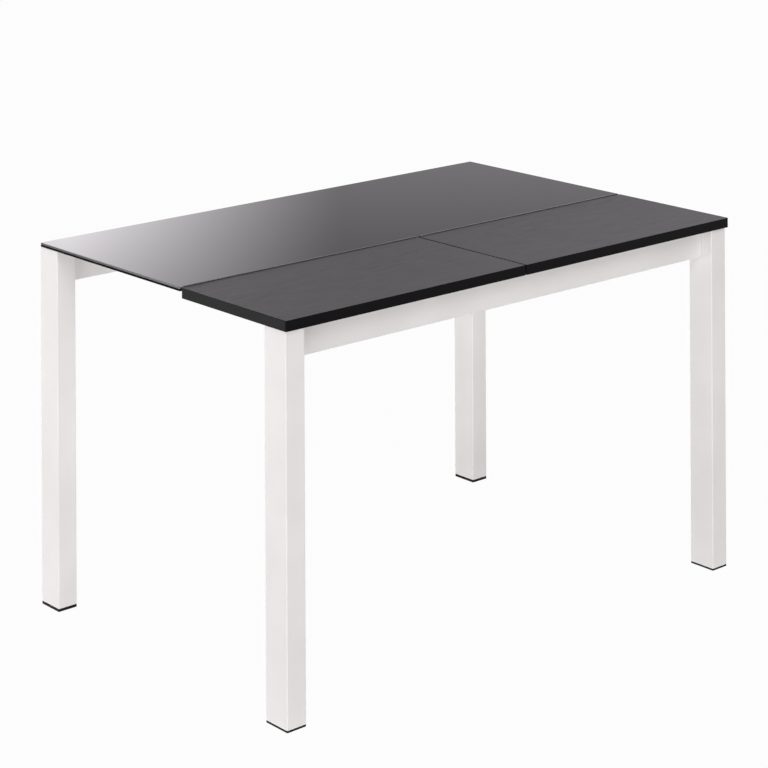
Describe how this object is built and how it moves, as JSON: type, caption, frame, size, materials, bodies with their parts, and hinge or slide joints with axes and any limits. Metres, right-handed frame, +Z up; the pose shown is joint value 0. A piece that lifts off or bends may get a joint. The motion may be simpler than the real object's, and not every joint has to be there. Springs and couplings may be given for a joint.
{
  "type": "extending table with turning leaves",
  "caption": "Dining table with a glass top on a rear frame, a front frame that slides in on telescopic guides, and hinged leaves that turn over onto the glass.",
  "frame": {"origin": "on the floor, under the middle of the table's outline with the front frame pulled out", "axes": "+X along the long side, +Y to the rear frame, +Z up"},
  "size_m": [1.206, 0.806, 0.7421],
  "materials": {
    "black_glass": "gloss, black coated back",
    "compact_laminate": "black, matt",
    "board_laminate": "black satin wood-grain laminate",
    "board_edge": "black satin edge band",
    "black_plastic": "moulded",
    "white_plastic": "satin",
    "white_steel": "white satin powder coat",
    "black_rubber": "matte",
    "black_steel": "black satin",
    "burnished_steel": "dark burnished, satin",
    "spacer_aluminium": "satin",
    "zinc_steel": "zinc plated"
  },
  "bodies": {
    "rear_frame": {"beam_pads": "black_rubber", "glass_carrier": "compact_laminate", "glass_spacers": "spacer_aluminium", "glass_top": "black_glass", "guide_cross_beam": "zinc_steel", "hinge_rail": "black_steel", "hinge_rail_screws": "black_steel", "left_guide_outer_channel": "zinc_steel", "left_hinge_fixed_half": "burnished_steel", "left_hinge_pin": "zinc_steel", "rear_bracket_screws": "zinc_steel", "rear_guide_brackets": "zinc_steel", "rear_left_foot": "black_plastic", "rear_left_leg": "white_steel", "rear_left_leg_cap": "white_plastic", "rear_rail": "white_steel", "rear_rail_end_plates": "white_steel", "rear_right_foot": "black_plastic", "rear_right_leg": "white_steel", "rear_right_leg_cap": "white_plastic", "right_guide_outer_channel": "zinc_steel", "right_hinge_fixed_half": "burnished_steel", "right_hinge_pin": "zinc_steel"},
    "front_frame": {"front_apron": "white_steel", "front_apron_end_plates": "white_steel", "front_bracket_screws": "zinc_steel", "front_guide_brackets": "zinc_steel", "front_left_foot": "black_plastic", "front_left_leg": "white_steel", "front_left_leg_cap": "white_plastic", "front_right_foot": "black_plastic", "front_right_leg": "white_steel", "front_right_leg_cap": "white_plastic", "leaf_bumpers": "black_rubber", "left_guide_inner_bar": "zinc_steel", "right_guide_inner_bar": "zinc_steel"},
    "middle_guides": {"left_guide_middle_channel": "zinc_steel", "right_guide_middle_channel": "zinc_steel"},
    "left_leaf": {"left_hinge_moving_half": "burnished_steel", "left_leaf_board": "board_laminate", "left_leaf_edge_band": "board_edge", "left_leaf_hinge_screws": "black_steel"},
    "right_leaf": {"right_hinge_moving_half": "burnished_steel", "right_leaf_board": "board_laminate", "right_leaf_edge_band": "board_edge", "right_leaf_hinge_screws": "black_steel"}
  },
  "joints": [
    {"name": "front_frame_slide", "type": "slide", "parent": "rear_frame", "child": "front_frame", "axis": [0, 1, 0], "range_m": [0, 0.319]},
    {"name": "middle_guide_slide", "type": "slide", "parent": "rear_frame", "child": "middle_guides", "axis": [0, 1, 0], "range_m": [0, 0.1595]},
    {"name": "left_leaf_hinge", "type": "hinge", "parent": "rear_frame", "child": "left_leaf", "pos_m": [-0.302, -0.086, 0.7405], "axis": [-1, 0, 0], "range_deg": [0, 180]},
    {"name": "right_leaf_hinge", "type": "hinge", "parent": "rear_frame", "child": "right_leaf", "pos_m": [0.302, -0.086, 0.7405], "axis": [-1, 0, 0], "range_deg": [0, 180]}
  ],
  "couplings": [
    {"joint": "middle_guide_slide", "follows": "front_frame_slide", "ratio": 0.5}
  ]
}
